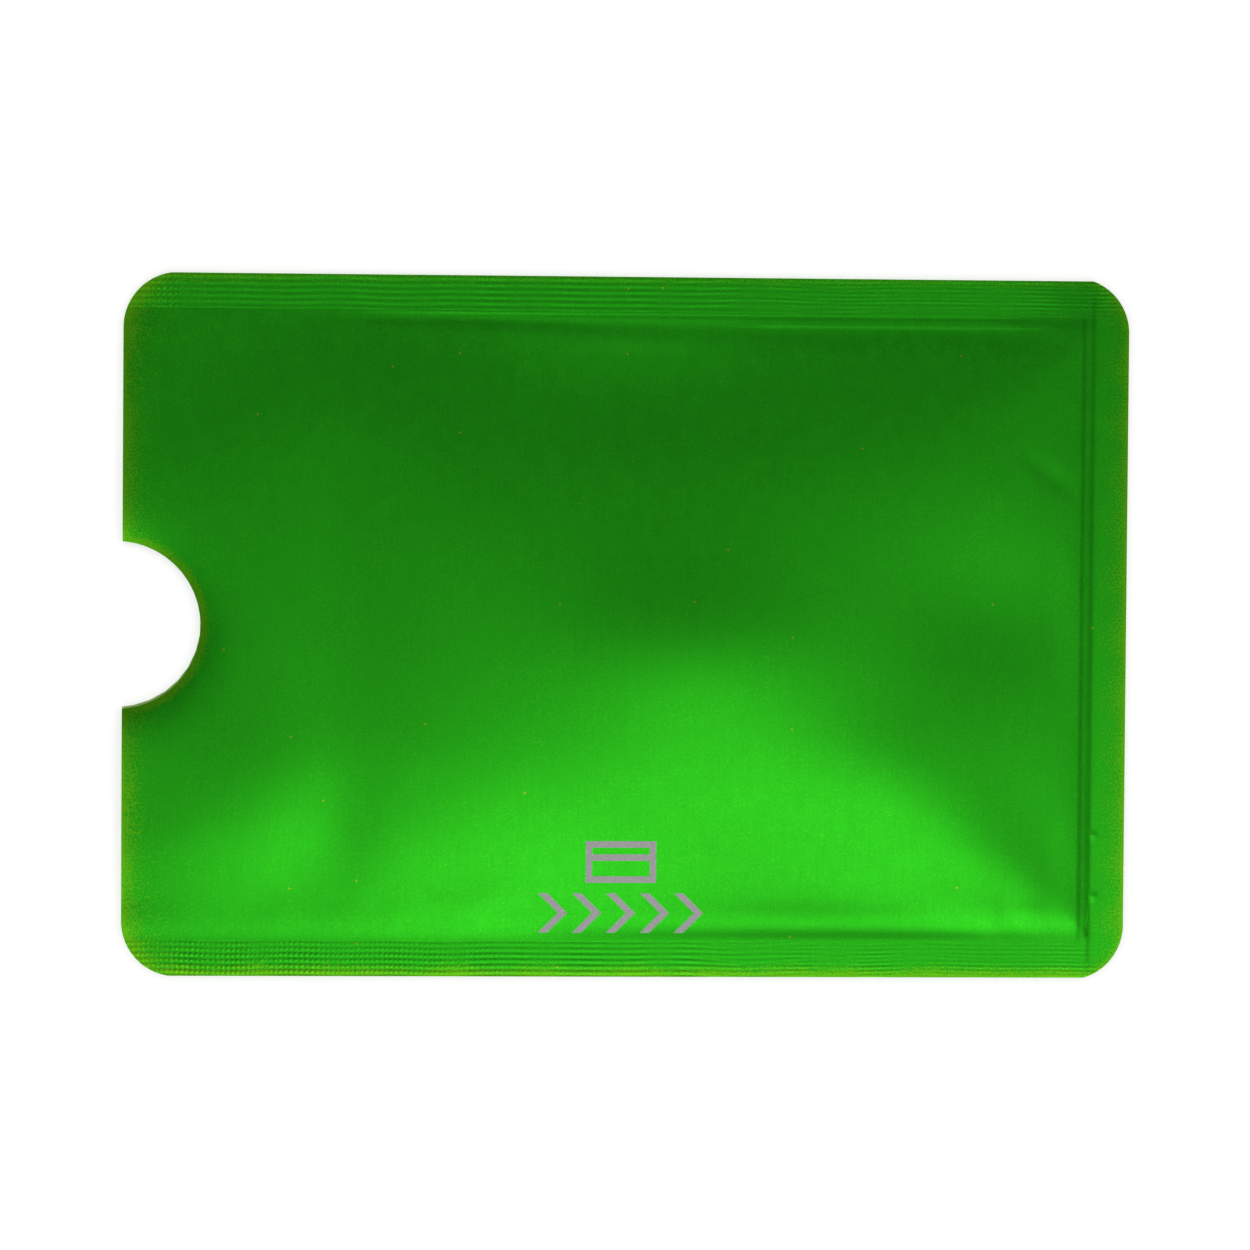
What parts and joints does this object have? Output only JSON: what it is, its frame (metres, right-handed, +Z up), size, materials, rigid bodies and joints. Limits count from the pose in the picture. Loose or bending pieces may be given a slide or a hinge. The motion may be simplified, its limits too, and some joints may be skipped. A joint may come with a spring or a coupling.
{
  "type": "rfid card sleeve",
  "caption": "Flat foil-lined sleeve for one payment card, welded along three edges, open at one short end with a thumb notch.",
  "frame": {"origin": "middle of the back panel's outer face, on the surface that the sleeve lies on", "axes": "+X from the open mouth to the closed end, +Y across the sleeve with the printed mark on the -Y side, +Z up through the puffed front panel"},
  "size_m": [0.091, 0.0634, 0.0012],
  "materials": {
    "lacquered_film": "satin",
    "foil": "satin",
    "sealing_film": "satin",
    "seam_weld": "satin",
    "printed_ink": "matte"
  },
  "bodies": {
    "root": {"back_lacquered_film": "lacquered_film", "back_foil": "foil", "back_sealing_film": "sealing_film", "upper_seam_weld": "seam_weld", "lower_seam_weld": "seam_weld", "end_seam_weld": "seam_weld", "front_sealing_film": "sealing_film", "front_foil": "foil", "front_lacquered_film": "lacquered_film", "printed_mark": "printed_ink"}
  },
  "joints": []
}
